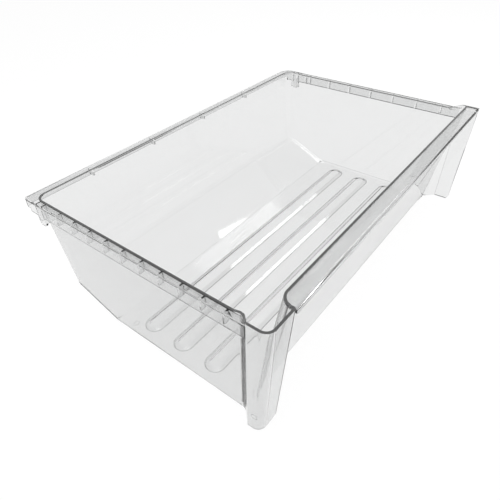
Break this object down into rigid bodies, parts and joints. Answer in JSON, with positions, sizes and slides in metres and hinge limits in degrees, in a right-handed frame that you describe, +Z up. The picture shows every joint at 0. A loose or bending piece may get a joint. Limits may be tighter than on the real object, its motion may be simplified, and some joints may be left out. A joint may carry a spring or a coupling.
{
  "type": "crisper drawer",
  "caption": "Clear one-piece refrigerator crisper tub with hanging side rails, a sloped rear ramp, raised floor ribs and a front pull lip between a hollow corner pillar and a side wing.",
  "frame": {"origin": "under the middle of the tub, on the surface that it stands on", "axes": "+Z up, -Y towards the pull front, +X to the right as seen from the front"},
  "size_m": [0.48, 0.3102, 0.1437],
  "materials": {
    "clear_plastic": "gloss, transparent"
  },
  "bodies": {
    "root": {"floor_pan": "clear_plastic", "rear_ramp": "clear_plastic", "rear_wall": "clear_plastic", "left_side_wall": "clear_plastic", "right_side_wall": "clear_plastic", "front_wall": "clear_plastic", "front_pull_lip": "clear_plastic", "left_front_pillar": "clear_plastic", "right_front_wing": "clear_plastic", "left_rail": "clear_plastic", "right_rail": "clear_plastic", "left_rail_webs": "clear_plastic", "right_rail_webs": "clear_plastic", "rear_rim": "clear_plastic", "rear_rim_gussets": "clear_plastic"}
  },
  "joints": []
}
